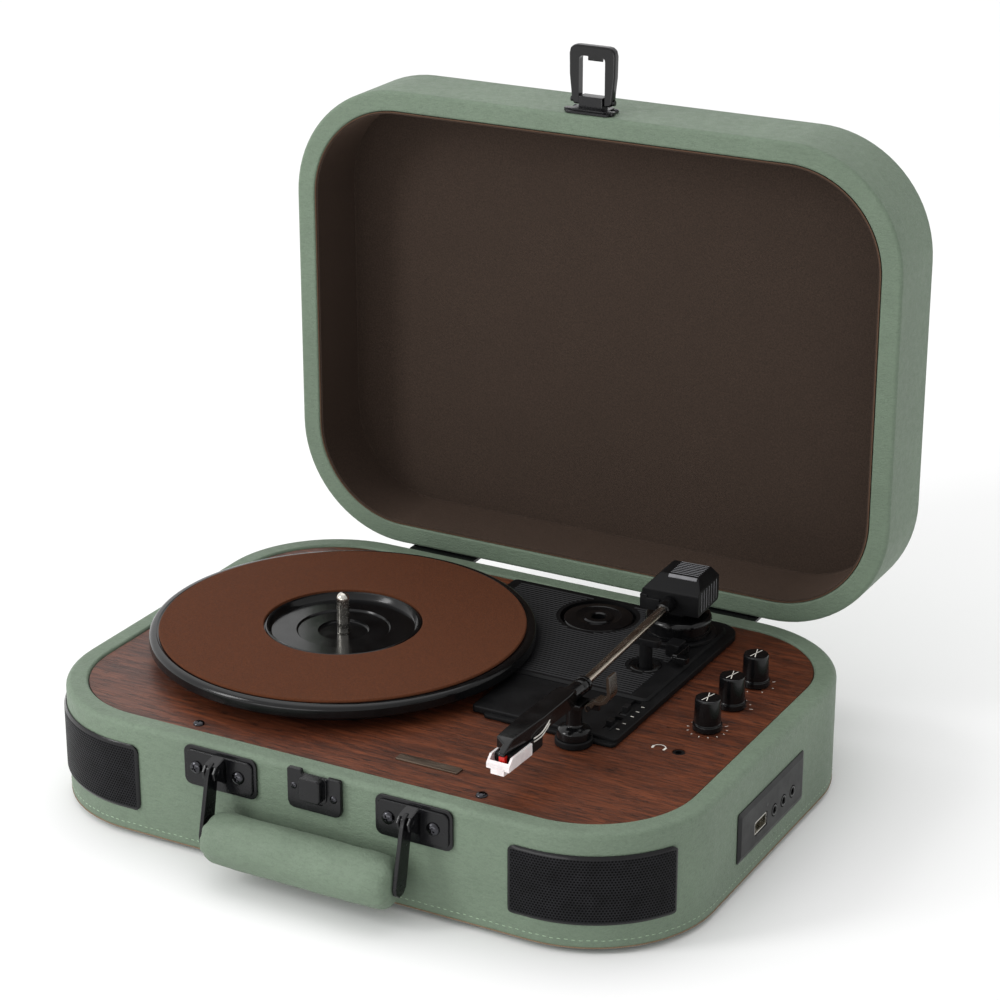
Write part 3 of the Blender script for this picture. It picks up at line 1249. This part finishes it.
# ---- cueing and sliders
cue_post = joined(
    rod(3.4, 66.3, 80, (*CUE_AT, 0), n=32),
    slab(81.2, 97.2, 173.5, 178.5, 79, 83, 1.5, "z", 0.6, n=4),
)
piece("cue_platform", cue_post, "cue_lift", "satin", "cue_lift")
lever_y, lever_z, lever_x = 196, 71.5, 102
lever_pin = (0, lever_y, lever_z)
cue_block = joined(
    box(93, 100.8, 191, 200, 67.8, 74.5, 0.8),
    rod(PIN_R, 98, 104, lever_pin, "x", 16),
)
piece("cue_mount", cue_block, "base", "satin", "cue_bracket")
lever = carved(
    prism(capsule(lever_y, lever_z, lever_y - 13, lever_z, 2.2), lever_x - 0.7, lever_x + 2, "x", 0.4),
    rod(PIN_BORE, 98, 108, lever_pin, "x", 16),
)
paddle_box = (lever_x - 0.7, lever_x + 8, lever_y - 15.5, lever_y - 11, lever_z - 1.6, lever_z + 1.6)
paddle = slab(*paddle_box, 1.4, "z", 0.6, n=4)
piece("cue_handle", joined(lever, paddle), "cue_lever", "gloss", "cue_lever")
for node, y in (("speed_switch", 125), ("auto_stop_switch", 107)):
    slider = joined(
        box(101.7, 105.3, y - 4.5, y + 4.5, 64.8, 66.2, 0.3, 1),
        box(101.9, 105.1, y - 2.2, y + 2.2, 66, 69.4, 0.5),
    )
    piece(node + "_cap", slider, node, "satin", node, slot="matt_plastic")
slider_ticks = [ribbon([(107.6, y), (109.4, y)], 0.5, PLATE_TOP) for y in (105, 112, 121, 127, 133)]
piece("slider_ticks", joined(*slider_ticks), "base", "print", sharp=80)

# ---- carried-over nodes
CARRIED = {
    "motor": "steel",
    "motor_pulley": "steel",
    "drive_belt": "rubber",
    "circuit_board": "board",
    "headphone_socket": "satin",
    "volume_control": "steel",
    "source_control": "steel",
    "pitch_control": "steel",
    "speaker_driver_left": "matt",
    "speaker_driver_right": "matt",
}
for node, look in CARRIED.items():
    mesh = frame["nodes"][node].data
    mesh.materials.clear()
    mesh.materials.append(M[look])

# ---- stage
FLOOR_HALF = 12
floor_bm = bmesh.new()
bmesh.ops.create_grid(floor_bm, x_segments=1, y_segments=1, size=FLOOR_HALF)
floor = stood("floor", mesh_of(floor_bm, "floor"))
floor_look = Look("pale_floor", Roughness=0.9, Specular_IOR_Level=0.1)
floor_look.put(
    "Base Color", floor_look.ramp(floor_look.noise(3, 2), (0.3, (0.86,) * 3), (0.7, (0.88,) * 3))
)
floor.data.materials.append(floor_look.mat)

world = bpy.data.worlds.new("studio")
SCENE.world = world
world.use_nodes = True
sky = world.node_tree
direction = sky.nodes.new("ShaderNodeTexCoord").outputs["Generated"]
split = sky.nodes.new("ShaderNodeSeparateXYZ")
sky.links.new(direction, split.inputs[0])
level = sky.nodes.new("ShaderNodeMapRange")
sky.links.new(split.outputs["X"], level.inputs["Value"])
for socket, value in (("From Min", -1), ("From Max", 1), ("To Min", 1.25), ("To Max", 0.68)):
    level.inputs[socket].default_value = value
sky.links.new(level.outputs["Result"], sky.nodes["Background"].inputs["Strength"])
sky.nodes["Background"].inputs["Color"].default_value = (1, 1, 1, 1)


def aimed_along(direction):
    return direction.to_track_quat("-Z", "Y").to_euler()


def area_light(name, place, aim, size, power):
    data = bpy.data.lights.new(name, "AREA")
    data.shape = "RECTANGLE"
    data.size, data.size_y = size
    data.energy = power
    obj = stood(name, data)
    obj.location = place
    obj.rotation_euler = aimed_along(Vector(aim) - Vector(place))


area_light("strip", (-1.2, -1.3, 1.0), (0, 0, 0.15), (0.45, 1.0), 15)
area_light("fill", (-0.05, -0.9, 0.12), (0, -0.17, 0.06), (0.6, 0.15), 0.9)
sun_data = bpy.data.lights.new("key", "SUN")
sun_data.energy = 0.6
sun_data.angle = radians(60)
sun = stood("key", sun_data)
sun.rotation_euler = aimed_along(Vector((0.1, -0.28, -1.0)))

VIEW = {"azimuth": 28.556, "elevation": 21.552, "distance": 1.40986, "lens": 102.07}
AIM = CASE @ Vector((29.1, 130.0, 163.14))
az, el = radians(VIEW["azimuth"]), radians(VIEW["elevation"])
away = Vector((sin(az) * cos(el), -cos(az) * cos(el), sin(el)))
camera_data = bpy.data.cameras.new("camera")
camera_data.lens = VIEW["lens"]
camera_data.sensor_width = 36
camera = stood("camera", camera_data)
camera.location = AIM + away * VIEW["distance"]
camera.rotation_euler = aimed_along(-away)
bpy.context.scene.camera = camera
SCENE.view_settings.view_transform = "Standard"
